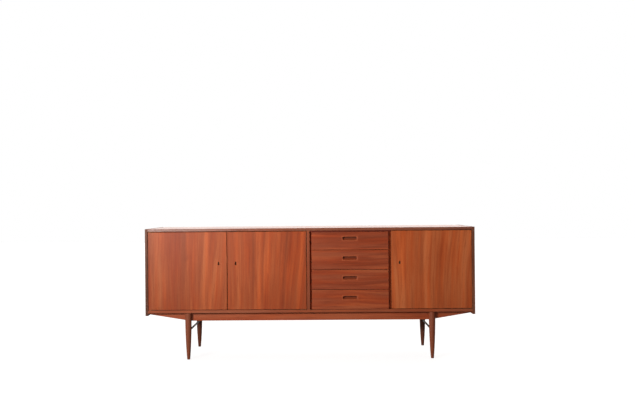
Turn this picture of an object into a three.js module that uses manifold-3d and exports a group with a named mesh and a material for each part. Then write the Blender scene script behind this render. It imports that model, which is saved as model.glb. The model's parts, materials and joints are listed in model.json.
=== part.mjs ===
// A long teak sideboard: three doors and four drawers in a flat case, on a base of two aprons, four turned
// legs and two metal stretchers. Millimetres. X runs to the right, Y to the back and Z up. The origin is on
// the floor under the middle of the case, and the front plane is at -Y.
import * as THREE from 'three';
import { mergeVertices } from 'three/addons/utils/BufferGeometryUtils.js';
import Module from 'manifold-3d';

const wasm = await Module();
wasm.setup();

// ---- Driving dimensions ----

const WIDTH = 2000;
const DEPTH = 450;
const HEIGHT = 800;

const SIDE_THICK = 16;
const TOP_THICK = 17;
const BOTTOM_THICK = 17;
const BOTTOM_UNDERSIDE = 288; // of the bottom board, where the legs end
const SIDE_LOW_EDGE = 272; // the side panels run a little below the bottom board

const BACK_THICK = 6;
const REBATE_BACK = 7; // depth of the rebate for the back panel, measured from the back
const REBATE_SIDE = 8; // how far it goes into each side panel
const REBATE_BOARD = 6; // how far it goes into the top and bottom boards

const GLUE_GAP = 0.3; // between a piece and the pocket that it sits in
const EDGE_GAP = 3; // between a door and the side panel or partition beside it

const FRONT_THICK = 20; // doors and drawer fronts
const SETBACK = FRONT_THICK + 1; // of the partitions that stand behind the doors

const PARTITION_LEFT = [-510, -490];
const PARTITION_MIDDLE = [-16, 2]; // the one whose edge shows beside the drawers
const DRAWER_LINER = [2, 13];
const PARTITION_RIGHT = [479, 499];

const SHELF_THICK = 16;
const SHELF_LOW_FACE = 530;
const SHELF_SETBACK = 40;
const HOUSING = 5; // depth of the slots that the shelf ends sit in

const DOOR_LOW_EDGE = 308;
const DOOR_TOP_EDGE = 780;
const DOOR_MEETING_LEFT = -502; // free edges of the left and middle doors
const DOOR_MEETING_RIGHT = -498;
const DOOR_RIGHT_FREE_EDGE = 496;

const PIVOT_FROM_EDGE = 10;
const PIVOT_FROM_FACE = 6;
const PIN_RADIUS = 2.5;
const PIN_LENGTH = 10;
const PIN_HOLE_RADIUS = 2.8;
const HINGE_PLATE = { length: 34, depth: 12, thick: 2 };

const KEYHOLE_HEIGHT = 595; // of the middle of its round head
const KEYHOLE_FROM_EDGE = 50;
const KEYHOLE_OUTER = { head: 3.4, foot: 5, drop: 12 };
const KEYHOLE_INNER = { head: 1.9, foot: 3.5, drop: 12 };
const LINER_DEPTH = 8;

const LOCK = { back: 18, low: 22, high: 26, thick: 14 };
const BOLT = { length: 36, thick: 6, height: 10, above: 12, fromBack: 5 };
const BOLT_CLEARANCE = 0.4;
const BOLT_REACH = 12; // how far a bolt slides
const LOCK_FROM_PARTITION = 3;

const DRAWER_COUNT = 4;
const DRAWER_LOW_EDGE = 307;
const DRAWER_HEIGHT = 117.5;
const TOP_DRAWER_HEIGHT = 107.5; // lower, so the gap over it is wider than the others
const DRAWER_GAP = 2.5;
const DRAWER_PITCH = DRAWER_HEIGHT + DRAWER_GAP;
const DRAWER_LENGTH = 410;
const DRAWER_SIDE = { thick: 12, low: 8, high: 96, housed: 6, clear: 1 };
const DRAWER_BOTTOM = { thick: 5, low: 14, groove: 6 };
const DRAWER_BACK_HIGH = 90;
const RUNNER = { low: 40, high: 52, out: 4.5, clear: 0.5, start: 50 };
const PULL = { width: 86, height: 20, depth: 13, wall: 7, middle: 68.5, corner: 8, rim: 2.5 };

const APRON_SETBACK = 45;
const APRON_THICK = 20;
const APRON_LOW_EDGE = 234;
const APRON_TAPER_START = 735;
const APRON_TIP_LOW_EDGE = 275;

const LEG_X = 745;
const LEG_Y = 190;
const LEG_TOP_RADIUS = 19.7;
const LEG_FOOT_RADIUS = 9;
const LEG_TAPER_POWER = 2.3;
const LEG_FOOT_CHAMFER = 1.5;

const STRETCHER_RADIUS = 6;
const STRETCHER_HOLE_RADIUS = 6.3;
const STRETCHER_HEIGHT = 172;
const STRETCHER_HALF_LENGTH = 183.5;

const CROSS_RAIL_X = 690;
const CROSS_RAIL = { thick: 20, low: 250 };

// ---- Positions worked out from them ----

const FRONT = -DEPTH / 2;
const BACK = DEPTH / 2;
const INNER_X = WIDTH / 2 - SIDE_THICK;
const BAY_FLOOR = BOTTOM_UNDERSIDE + BOTTOM_THICK;
const BAY_CEILING = HEIGHT - TOP_THICK;
const BAY_BACK = BACK - REBATE_BACK;
const DOOR_BACK = FRONT + FRONT_THICK;

// ---- Finishes ----

const FINISH = {
  doorTeak: { color: 0xae5d39, roughness: 0.42, metalness: 0 },
  frontTeak: { color: 0x95492f, roughness: 0.42, metalness: 0 },
  caseTeak: { color: 0x8c5238, roughness: 0.4, metalness: 0 },
  innerTeak: { color: 0x9a6a48, roughness: 0.6, metalness: 0 },
  legTeak: { color: 0x87503c, roughness: 0.38, metalness: 0 },
  beech: { color: 0xc9a27a, roughness: 0.6, metalness: 0 },
  plywood: { color: 0xb58a62, roughness: 0.7, metalness: 0 },
  steel: { color: 0x4a4c4a, roughness: 0.35, metalness: 1 },
  lockSteel: { color: 0x8a8a86, roughness: 0.4, metalness: 1 },
  brass: { color: 0x9c7b3c, roughness: 0.35, metalness: 1 },
  darkBrass: { color: 0x3a2a1c, roughness: 0.45, metalness: 1 },
};

// ---- Geometry helpers ----

const middle = ([low, high]) => (low + high) / 2;
const extent = ([low, high]) => high - low;

/** The span between two values, whichever is lower. */
const between = (a, b) => [Math.min(a, b), Math.max(a, b)];

/** A box over three spans. */
function block(x, y, z) {
  const box = new THREE.BoxGeometry(extent(x), extent(y), extent(z));
  return box.translate(middle(x), middle(y), middle(z));
}

/** An outline in X and Z, drawn out along Y over a span. */
function prismAlongY(shape, y) {
  const options = { depth: extent(y), bevelEnabled: false, curveSegments: 8 };
  return new THREE.ExtrudeGeometry(shape, options).rotateX(Math.PI / 2).translate(0, y[1], 0);
}

/** An outline in Y and Z, drawn out along X over a span. */
function prismAlongX(shape, x) {
  const options = { depth: extent(x), bevelEnabled: false, curveSegments: 8 };
  const turn = new THREE.Matrix4().makeBasis(
    new THREE.Vector3(0, 1, 0),
    new THREE.Vector3(0, 0, 1),
    new THREE.Vector3(1, 0, 0),
  );
  return new THREE.ExtrudeGeometry(shape, options).applyMatrix4(turn).translate(x[0], 0, 0);
}

/** A cylinder along Y over a span. */
function cylinderAlongY(radius, y, segments) {
  return new THREE.CylinderGeometry(radius, radius, extent(y), segments).translate(0, middle(y), 0);
}

/** A cylinder along Z over a span, centred on the Z axis. */
function cylinderAlongZ(radius, z, segments) {
  const cylinder = new THREE.CylinderGeometry(radius, radius, extent(z), segments);
  return cylinder.rotateX(Math.PI / 2).translate(0, 0, middle(z));
}

/** A manifold-3d solid of a closed geometry. */
function solidOf(geometry) {
  const bare = geometry.clone();
  bare.deleteAttribute('normal');
  bare.deleteAttribute('uv');
  const merged = mergeVertices(bare, 1e-4);
  const triangles = [];
  for (let i = 0; i < merged.index.count; i += 3) {
    const [a, b, c] = [0, 1, 2].map((k) => merged.index.getX(i + k));
    if (a !== b && b !== c && c !== a) triangles.push(a, b, c);
  }
  return new wasm.Manifold(new wasm.Mesh({
    numProp: 3,
    vertProperties: new Float32Array(merged.attributes.position.array),
    triVerts: new Uint32Array(triangles),
  }));
}

/** A flat-shaded geometry of a manifold-3d solid. */
function geometryOf(solid) {
  const mesh = solid.getMesh();
  const indexed = new THREE.BufferGeometry();
  indexed.setAttribute('position', new THREE.BufferAttribute(mesh.vertProperties, 3));
  indexed.setIndex(new THREE.BufferAttribute(mesh.triVerts, 1));
  const geometry = indexed.toNonIndexed();
  geometry.computeVertexNormals();
  return geometry;
}

/** One geometry with others joined to it and others cut from it. */
function carve(geometry, { add = [], cut = [] }) {
  let solid = solidOf(geometry);
  for (const extra of add) solid = solid.add(solidOf(extra));
  for (const cutter of cut) solid = solid.subtract(solidOf(cutter));
  return geometryOf(solid);
}

/** Adds one named piece to a group. */
function addPiece(parent, name, finish, geometry, [x, y, z] = [0, 0, 0]) {
  const mesh = new THREE.Mesh(geometry, new THREE.MeshStandardMaterial(finish));
  mesh.name = name;
  mesh.position.set(x, y, z);
  parent.add(mesh);
}

/** Adds one board over three spans, with cutters that are placed as the board is. */
function addBoard(parent, name, finish, [x, y, z], cut = []) {
  const centre = [middle(x), middle(y), middle(z)];
  const plain = new THREE.BoxGeometry(extent(x), extent(y), extent(z));
  const moved = cut.map((cutter) => cutter.clone().translate(...centre.map((value) => -value)));
  addPiece(parent, name, finish, cut.length ? carve(plain, { cut: moved }) : plain, centre);
}

// ---- Case ----

/** The slot in an upright, on the face at x, that a shelf's end sits in. into is +1 or -1. */
function shelfHousing(x, into) {
  const front = FRONT + SHELF_SETBACK - GLUE_GAP;
  const z = [SHELF_LOW_FACE - GLUE_GAP, SHELF_LOW_FACE + SHELF_THICK + GLUE_GAP];
  return block(between(x - into, x + into * HOUSING), [front, BACK + 1], z);
}

/** The mortise in an upright, on the face at x, that a lock bolt slides into. */
function boltMortise(x, into, depth) {
  const back = DOOR_BACK + LOCK.thick - BOLT.fromBack + BOLT.thick / 2 + 2 * BOLT_CLEARANCE;
  const front = back - BOLT.thick - 4 * BOLT_CLEARANCE;
  const low = KEYHOLE_HEIGHT + BOLT.above - BOLT.height / 2 - 2 * BOLT_CLEARANCE;
  const high = low + BOLT.height + 4 * BOLT_CLEARANCE;
  return block(between(x - into, x + into * depth), [front, back], [low, high]);
}

/** The runner grooves in an upright, on the face at x, one for each drawer. */
function runnerGrooves(x, into) {
  const grooves = [];
  for (let i = 0; i < DRAWER_COUNT; i += 1) {
    const base = DRAWER_LOW_EDGE + i * DRAWER_PITCH;
    const z = [base + RUNNER.low - RUNNER.clear, base + RUNNER.high + RUNNER.clear];
    const depth = RUNNER.out + DRAWER_SIDE.clear;
    grooves.push(block(between(x - into, x + into * depth), [FRONT, BAY_BACK - 10], z));
  }
  return grooves;
}

function buildCase() {
  const group = new THREE.Group();
  const depth = [FRONT, BACK];
  const upright = [FRONT + SETBACK, BAY_BACK];
  const bay = [BAY_FLOOR, BAY_CEILING];
  const rebateY = [BAY_BACK, BACK + 1];
  const rebateZ = [BAY_FLOOR - REBATE_BOARD, BAY_CEILING + REBATE_BOARD];

  const topRebate = block([-WIDTH, WIDTH], rebateY, [BAY_CEILING - 1, rebateZ[1]]);
  const bottomRebate = block([-WIDTH, WIDTH], rebateY, [rebateZ[0], BAY_FLOOR + 1]);
  const top = [[-INNER_X, INNER_X], depth, [BAY_CEILING, HEIGHT]];
  const bottom = [[-INNER_X, INNER_X], depth, [BOTTOM_UNDERSIDE, BAY_FLOOR]];
  addBoard(group, 'top_panel', FINISH.caseTeak, top, [topRebate]);
  addBoard(group, 'bottom_panel', FINISH.caseTeak, bottom, [bottomRebate]);

  for (const [name, side] of [['left', -1], ['right', 1]]) {
    const face = side * INNER_X;
    const spans = [between(face, side * WIDTH / 2), depth, [SIDE_LOW_EDGE, HEIGHT]];
    const rebate = block(between(face - side, face + side * REBATE_SIDE), rebateY, rebateZ);
    addBoard(group, `side_panel_${name}`, FINISH.caseTeak, spans, [rebate, shelfHousing(face, side)]);
  }

  const boltDepth = BOLT_REACH - LOCK_FROM_PARTITION;
  addBoard(group, 'partition_left', FINISH.innerTeak, [PARTITION_LEFT, upright, bay], [
    shelfHousing(PARTITION_LEFT[0], 1),
    shelfHousing(PARTITION_LEFT[1], -1),
    boltMortise(PARTITION_LEFT[0], 1, boltDepth),
    boltMortise(PARTITION_LEFT[1], -1, boltDepth),
  ]);
  addBoard(group, 'partition_middle', FINISH.caseTeak, [PARTITION_MIDDLE, [FRONT, BAY_BACK], bay], [
    shelfHousing(PARTITION_MIDDLE[0], 1),
  ]);
  addBoard(group, 'drawer_liner', FINISH.innerTeak, [DRAWER_LINER, upright, bay], [
    ...runnerGrooves(DRAWER_LINER[1], -1),
  ]);
  addBoard(group, 'partition_right', FINISH.innerTeak, [PARTITION_RIGHT, upright, bay], [
    ...runnerGrooves(PARTITION_RIGHT[0], 1),
    shelfHousing(PARTITION_RIGHT[1], -1),
    boltMortise(PARTITION_RIGHT[1], -1, boltDepth),
  ]);

  const backX = INNER_X + REBATE_SIDE - GLUE_GAP;
  const backY = [BAY_BACK + GLUE_GAP, BAY_BACK + GLUE_GAP + BACK_THICK];
  const backZ = [rebateZ[0] + GLUE_GAP, rebateZ[1] - GLUE_GAP];
  addBoard(group, 'back_panel', FINISH.plywood, [[-backX, backX], backY, backZ]);

  const shelfBays = {
    left: [-INNER_X, PARTITION_LEFT[0]],
    middle: [PARTITION_LEFT[1], PARTITION_MIDDLE[0]],
    right: [PARTITION_RIGHT[1], INNER_X],
  };
  const letIn = HOUSING - GLUE_GAP;
  for (const [name, [from, to]] of Object.entries(shelfBays)) {
    addBoard(group, `shelf_${name}`, FINISH.innerTeak, [
      [from - letIn, to + letIn],
      [FRONT + SHELF_SETBACK, BAY_BACK],
      [SHELF_LOW_FACE, SHELF_LOW_FACE + SHELF_THICK],
    ]);
  }
  return group;
}

// ---- Base ----

function buildBase() {
  const group = new THREE.Group();
  const tip = INNER_X - GLUE_GAP;
  const apronOutline = new THREE.Shape([
    new THREE.Vector2(-tip, APRON_TIP_LOW_EDGE),
    new THREE.Vector2(-APRON_TAPER_START, APRON_LOW_EDGE),
    new THREE.Vector2(APRON_TAPER_START, APRON_LOW_EDGE),
    new THREE.Vector2(tip, APRON_TIP_LOW_EDGE),
    new THREE.Vector2(tip, BOTTOM_UNDERSIDE),
    new THREE.Vector2(-tip, BOTTOM_UNDERSIDE),
  ]);
  const apronFace = BACK - APRON_SETBACK;
  for (const [name, side] of [['front', -1], ['back', 1]]) {
    const y = between(side * apronFace, side * (apronFace - APRON_THICK));
    addPiece(group, `apron_${name}`, FINISH.caseTeak, prismAlongY(apronOutline, y));
  }

  for (const [name, side] of [['left', -1], ['right', 1]]) {
    const x = side * CROSS_RAIL_X;
    addBoard(group, `cross_rail_${name}`, FINISH.innerTeak, [
      [x - CROSS_RAIL.thick / 2, x + CROSS_RAIL.thick / 2],
      [-apronFace + APRON_THICK, apronFace - APRON_THICK],
      [CROSS_RAIL.low, BOTTOM_UNDERSIDE],
    ]);
    const bar = cylinderAlongY(STRETCHER_RADIUS, [-STRETCHER_HALF_LENGTH, STRETCHER_HALF_LENGTH], 20);
    addPiece(group, `stretcher_${name}`, FINISH.steel, bar, [side * LEG_X, 0, STRETCHER_HEIGHT]);
    addPiece(group, `leg_front_${name}`, FINISH.legTeak, legGeometry(-1), [side * LEG_X, -LEG_Y, 0]);
    addPiece(group, `leg_back_${name}`, FINISH.legTeak, legGeometry(1), [side * LEG_X, LEG_Y, 0]);
  }
  return group;
}

/** A leg's radius at a height: almost straight at the top, and slimmer and slimmer to the foot. */
function legRadius(height) {
  const down = 1 - height / BOTTOM_UNDERSIDE;
  return LEG_TOP_RADIUS - (LEG_TOP_RADIUS - LEG_FOOT_RADIUS) * down ** LEG_TAPER_POWER;
}

/** A turned leg, lapped to the apron at its top and drilled for the stretcher. side is -1 at the front. */
function legGeometry(side) {
  const rings = 10;
  const profile = [new THREE.Vector2(0, 0), new THREE.Vector2(LEG_FOOT_RADIUS - LEG_FOOT_CHAMFER, 0)];
  for (let i = 0; i <= rings; i += 1) {
    const height = LEG_FOOT_CHAMFER + (BOTTOM_UNDERSIDE - LEG_FOOT_CHAMFER) * (i / rings);
    profile.push(new THREE.Vector2(legRadius(height), height));
  }
  profile.push(new THREE.Vector2(0, BOTTOM_UNDERSIDE));
  const turned = new THREE.LatheGeometry(profile, 24).rotateX(Math.PI / 2);

  const lapFace = side * (BACK - APRON_SETBACK + GLUE_GAP - LEG_Y);
  const lap = block(
    [-2 * LEG_TOP_RADIUS, 2 * LEG_TOP_RADIUS],
    between(lapFace, -side * 2 * LEG_TOP_RADIUS),
    [APRON_LOW_EDGE - GLUE_GAP, BOTTOM_UNDERSIDE + 1],
  );
  const holeEnd = side * (STRETCHER_HALF_LENGTH + GLUE_GAP - LEG_Y);
  const hole = cylinderAlongY(STRETCHER_HOLE_RADIUS, between(holeEnd, -side * 2 * LEG_TOP_RADIUS), 20);
  return carve(turned, { cut: [lap, hole.translate(0, 0, STRETCHER_HEIGHT)] });
}

// ---- Doors and their locks ----

/** A keyhole outline: a small round head that widens down to a rounder foot, grown by a margin. */
function keyholeShape({ head, foot, drop }, margin = 0) {
  const lean = Math.asin((foot - head) / drop);
  const shape = new THREE.Shape();
  shape.absarc(0, 0, head + margin, lean, Math.PI - lean, false);
  shape.absarc(0, -drop, foot + margin, Math.PI - lean, 2 * Math.PI + lean, false);
  shape.closePath();
  return shape;
}

/**
 * A door with its keyhole liner, lock case and lock bolt, in a group at its pivot axis. The bolt slides
 * towards partitionFace, the side of the partition that the door closes against.
 */
function buildDoor({ name, hingeEdge, freeEdge, partitionFace }) {
  const away = Math.sign(freeEdge - hingeEdge); // +1 when the free edge is on the right
  const group = new THREE.Group();
  group.position.set(hingeEdge + away * PIVOT_FROM_EDGE, FRONT + PIVOT_FROM_FACE, 0);
  const toLocalX = (x) => x - group.position.x;
  const face = -PIVOT_FROM_FACE;
  const rear = face + FRONT_THICK;
  const free = toLocalX(freeEdge);
  const keyX = free - away * KEYHOLE_FROM_EDGE;
  const keyhole = (size, y, margin) => (
    prismAlongY(keyholeShape(size, margin), y).translate(keyX, 0, KEYHOLE_HEIGHT)
  );

  const pinHole = [0, PIN_LENGTH + GLUE_GAP];
  addBoard(group, `door_${name}`, FINISH.doorTeak, [
    between(toLocalX(hingeEdge), free),
    [face, rear],
    [DOOR_LOW_EDGE, DOOR_TOP_EDGE],
  ], [
    keyhole(KEYHOLE_OUTER, [face - 1, face + LINER_DEPTH + GLUE_GAP], GLUE_GAP),
    keyhole(KEYHOLE_INNER, [face, rear + 1], 0),
    cylinderAlongZ(PIN_HOLE_RADIUS, [-1, pinHole[1]], 16).translate(0, 0, DOOR_LOW_EDGE),
    cylinderAlongZ(PIN_HOLE_RADIUS, [-pinHole[1], 1], 16).translate(0, 0, DOOR_TOP_EDGE),
  ]);

  const linerShape = keyholeShape(KEYHOLE_OUTER);
  linerShape.holes.push(keyholeShape(KEYHOLE_INNER));
  const liner = prismAlongY(linerShape, [face, face + LINER_DEPTH]);
  addPiece(group, `keyhole_liner_${name}`, FINISH.darkBrass, liner, [keyX, 0, KEYHOLE_HEIGHT]);

  const caseEnd = toLocalX(partitionFace) - away * LOCK_FROM_PARTITION;
  const boltEnd = caseEnd - away * 0.5;
  const boltStart = boltEnd - away * BOLT.length;
  const boltY = rear + LOCK.thick - BOLT.fromBack;
  const boltZ = KEYHOLE_HEIGHT + BOLT.above;
  const boltSpans = (clear) => [
    [boltY - BOLT.thick / 2 - clear, boltY + BOLT.thick / 2 + clear],
    [boltZ - BOLT.height / 2 - clear, boltZ + BOLT.height / 2 + clear],
  ];
  addBoard(group, `lock_case_${name}`, FINISH.lockSteel, [
    between(keyX - away * LOCK.back, caseEnd),
    [rear, rear + LOCK.thick],
    [KEYHOLE_HEIGHT - LOCK.low, KEYHOLE_HEIGHT + LOCK.high],
  ], [
    keyhole(KEYHOLE_INNER, [rear - 1, rear + LOCK.thick + 1], 0),
    block(between(boltStart - away * BOLT_CLEARANCE, caseEnd + away), ...boltSpans(BOLT_CLEARANCE)),
  ]);
  addBoard(group, `lock_bolt_${name}`, FINISH.brass, [between(boltStart, boltEnd), ...boltSpans(0)]);
  return group;
}

/** A pivot hinge: a plate on the case board and a pin that goes into the door. up is +1 at the bottom. */
function buildHinge(name, finish, pivotX, away, boardFace, up) {
  const { length, depth, thick } = HINGE_PLATE;
  const plate = block(
    between(-away * (PIVOT_FROM_EDGE - 1), away * (length - PIVOT_FROM_EDGE)),
    [PIVOT_FROM_FACE - depth / 2 - 4, PIVOT_FROM_FACE + depth / 2 - 4],
    between(0, up * thick),
  );
  const doorEdge = up > 0 ? DOOR_LOW_EDGE - boardFace : boardFace - DOOR_TOP_EDGE;
  const pin = cylinderAlongZ(PIN_RADIUS, between(up, up * (doorEdge + PIN_LENGTH)), 16);
  const group = new THREE.Group();
  group.position.set(pivotX, FRONT + PIVOT_FROM_FACE, boardFace);
  addPiece(group, name, finish, carve(plate, { add: [pin] }));
  return group;
}

const DOORS = [
  {
    name: 'left',
    hingeEdge: -INNER_X + EDGE_GAP,
    freeEdge: DOOR_MEETING_LEFT,
    partitionFace: PARTITION_LEFT[0],
  },
  {
    name: 'middle',
    hingeEdge: PARTITION_MIDDLE[0] - EDGE_GAP,
    freeEdge: DOOR_MEETING_RIGHT,
    partitionFace: PARTITION_LEFT[1],
  },
  {
    name: 'right',
    hingeEdge: INNER_X - EDGE_GAP,
    freeEdge: DOOR_RIGHT_FREE_EDGE,
    partitionFace: PARTITION_RIGHT[1],
  },
];

function buildDoors() {
  const group = new THREE.Group();
  for (const door of DOORS) {
    const away = Math.sign(door.freeEdge - door.hingeEdge);
    const pivotX = door.hingeEdge + away * PIVOT_FROM_EDGE;
    const hinge = `pivot_hinge_${door.name}`;
    group.add(buildDoor(door));
    group.add(buildHinge(`${hinge}_bottom`, FINISH.brass, pivotX, away, BAY_FLOOR, 1));
    group.add(buildHinge(`${hinge}_top`, FINISH.brass, pivotX, away, BAY_CEILING, -1));
  }
  return group;
}

// ---- Drawers ----

/** A rectangle with round corners as points, counter-clockwise in X and Z, grown by a margin. */
function roundedOutline({ width, height, corner }, margin) {
  const steps = 4;
  const [halfX, halfZ] = [width / 2 - corner, height / 2 - corner];
  const points = [];
  [[1, 1], [-1, 1], [-1, -1], [1, -1]].forEach(([sx, sz], quarter) => {
    for (let i = 0; i <= steps; i += 1) {
      const angle = (quarter + i / steps) * (Math.PI / 2);
      const radius = corner + margin;
      const x = sx * halfX + radius * Math.cos(angle);
      points.push(new THREE.Vector2(x, sz * halfZ + radius * Math.sin(angle)));
    }
  });
  return points;
}

/** A closed solid between two outlines of as many points, the first at y[0] and the second at y[1]. */
function loftAlongY(first, second, y) {
  const count = first.length;
  const positions = [];
  for (const point of first) positions.push(point.x, y[0], point.y);
  for (const point of second) positions.push(point.x, y[1], point.y);
  const triangles = [];
  for (let i = 0; i < count; i += 1) {
    const next = (i + 1) % count;
    triangles.push(i, count + i, next, next, count + i, count + next);
  }
  for (let i = 1; i < count - 1; i += 1) {
    triangles.push(0, i, i + 1, count, count + i + 1, count + i);
  }
  const geometry = new THREE.BufferGeometry();
  geometry.setAttribute('position', new THREE.Float32BufferAttribute(positions, 3));
  geometry.setIndex(triangles);
  return geometry;
}

/** The cutter for a finger pull, centred on its opening: deep under its top edge, sloping out below. */
function pullCutter() {
  const { height, depth, wall, rim } = PULL;
  const half = height / 2;
  const section = new THREE.Shape();
  section.moveTo(-1, half);
  section.lineTo(-1, -half);
  section.lineTo(0, -half);
  section.quadraticCurveTo(depth, -half + 3, depth, half - wall);
  section.lineTo(depth, half);
  const scoop = solidOf(prismAlongX(section, [-PULL.width, PULL.width]));
  const opening = solidOf(loftAlongY(roundedOutline(PULL, 0), roundedOutline(PULL, 0), [-1, depth + 1]));
  const bevel = solidOf(loftAlongY(roundedOutline(PULL, rim + 1), roundedOutline(PULL, 0), [-1, rim]));
  return geometryOf(scoop.intersect(opening).add(bevel));
}

/** One drawer in a group at the lower left corner of its front, with Y running to the back. */
function buildDrawer(number, width) {
  const group = new THREE.Group();
  const height = number === 1 ? TOP_DRAWER_HEIGHT : DRAWER_HEIGHT;
  const { thick, low, high, housed, clear } = DRAWER_SIDE;
  const inner = [clear + thick, width - clear - thick];
  const grooveZ = [DRAWER_BOTTOM.low - GLUE_GAP, DRAWER_BOTTOM.low + DRAWER_BOTTOM.thick + GLUE_GAP];
  const pocketY = [FRONT_THICK - housed - GLUE_GAP, FRONT_THICK + 1];
  const pocketZ = [low - GLUE_GAP, high + GLUE_GAP];
  const pull = pullCutter().translate(width / 2, 0, PULL.middle);
  addBoard(group, `drawer_${number}_front`, FINISH.frontTeak, [
    [0, width],
    [0, FRONT_THICK],
    [0, height],
  ], [
    pull,
    block([clear - GLUE_GAP, inner[0] + GLUE_GAP], pocketY, pocketZ),
    block([inner[1] - GLUE_GAP, width - clear + GLUE_GAP], pocketY, pocketZ),
    block(inner, pocketY, grooveZ),
  ]);

  const length = [FRONT_THICK - housed, DRAWER_LENGTH];
  for (const [name, outer, into] of [['left', clear, 1], ['right', width - clear, -1]]) {
    const face = outer + into * thick;
    const board = block(between(outer, face), length, [low, high]);
    const runner = block(
      between(outer + into, outer - into * RUNNER.out),
      [RUNNER.start, DRAWER_LENGTH],
      [RUNNER.low, RUNNER.high],
    );
    const groove = block(between(face + into, face - into * DRAWER_BOTTOM.groove), [0, WIDTH], grooveZ);
    const side = carve(board, { add: [runner], cut: [groove] });
    addPiece(group, `drawer_${number}_side_${name}`, FINISH.beech, side);
  }

  const bottomIn = DRAWER_BOTTOM.groove - GLUE_GAP;
  addBoard(group, `drawer_${number}_bottom`, FINISH.plywood, [
    [inner[0] - bottomIn, inner[1] + bottomIn],
    [FRONT_THICK - housed, DRAWER_LENGTH],
    [DRAWER_BOTTOM.low, DRAWER_BOTTOM.low + DRAWER_BOTTOM.thick],
  ]);
  addBoard(group, `drawer_${number}_back`, FINISH.beech, [
    inner,
    [DRAWER_LENGTH - thick, DRAWER_LENGTH],
    [grooveZ[1], DRAWER_BACK_HIGH],
  ]);
  return group;
}

function buildDrawers() {
  const group = new THREE.Group();
  const width = PARTITION_RIGHT[0] - DRAWER_LINER[1];
  for (let i = 0; i < DRAWER_COUNT; i += 1) {
    const drawer = buildDrawer(DRAWER_COUNT - i, width); // numbered from the top
    drawer.position.set(DRAWER_LINER[1], FRONT, DRAWER_LOW_EDGE + i * DRAWER_PITCH);
    group.add(drawer);
  }
  return group;
}

// ---- The whole sideboard ----

const sideboard = new THREE.Group();
sideboard.add(buildCase(), buildBase(), buildDoors(), buildDrawers());

export default sideboard;
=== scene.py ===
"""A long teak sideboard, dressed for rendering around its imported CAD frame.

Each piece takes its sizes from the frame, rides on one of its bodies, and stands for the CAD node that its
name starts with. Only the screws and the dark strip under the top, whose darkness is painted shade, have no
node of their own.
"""
import json
import math
import random
from typing import NamedTuple

import bmesh
import bpy
from mathutils import Matrix, Vector


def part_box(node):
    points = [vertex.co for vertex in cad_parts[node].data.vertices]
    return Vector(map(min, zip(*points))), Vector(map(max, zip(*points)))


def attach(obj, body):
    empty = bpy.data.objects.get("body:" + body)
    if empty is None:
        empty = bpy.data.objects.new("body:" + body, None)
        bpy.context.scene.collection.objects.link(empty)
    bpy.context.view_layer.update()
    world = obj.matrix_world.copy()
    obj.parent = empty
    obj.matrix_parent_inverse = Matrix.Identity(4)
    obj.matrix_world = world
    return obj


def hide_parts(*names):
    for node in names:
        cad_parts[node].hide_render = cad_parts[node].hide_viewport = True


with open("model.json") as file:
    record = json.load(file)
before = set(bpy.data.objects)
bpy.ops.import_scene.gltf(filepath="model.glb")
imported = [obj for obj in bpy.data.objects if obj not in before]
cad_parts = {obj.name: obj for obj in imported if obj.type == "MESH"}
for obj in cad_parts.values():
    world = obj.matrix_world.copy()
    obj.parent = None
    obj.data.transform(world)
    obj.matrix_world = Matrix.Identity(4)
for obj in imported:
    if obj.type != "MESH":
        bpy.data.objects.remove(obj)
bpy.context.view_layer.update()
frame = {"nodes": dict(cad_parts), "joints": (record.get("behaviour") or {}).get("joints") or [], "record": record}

BODY_OF = {
    node: body
    for body, nodes in frame["record"]["behaviour"]["bodies"].items()
    for node in nodes
}
JOINTS = {joint["name"]: joint for joint in frame["joints"]}

MM = 0.001
AXES = {"x": 0, "y": 1, "z": 2}
SLACK = 0.3 * MM  # left round a part that is let into another
OVERCUT = 5 * MM  # how far a cutter reaches past the face that it opens
SHARP_ANGLE = math.radians(38.0)  # an edge that turns less than this is shaded smooth
FLAT_ANGLE = math.radians(0.4)  # two CAD faces that turn less than this are one flat face
WELD_DISTANCE = 0.001 * MM

# The first seed of each kind of piece. The pieces of a kind count on from it.
SEEDS = {
    "door": 40,
    "keyhole_liner": 60,
    "lock_case": 70,
    "lock_screws": 75,
    "lock_bolt": 80,
    "hinge": 90,
    "board": 100,
    "drawer_box": 320,
    "leg": 500,
    "stretcher": 540,
    "back_screws": 600,
    "top_strip": 610,
}

# ---- Node trees ----


def shade(colour, share):
    """A colour with each of its parts multiplied."""
    return tuple(share * part for part in colour)


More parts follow.
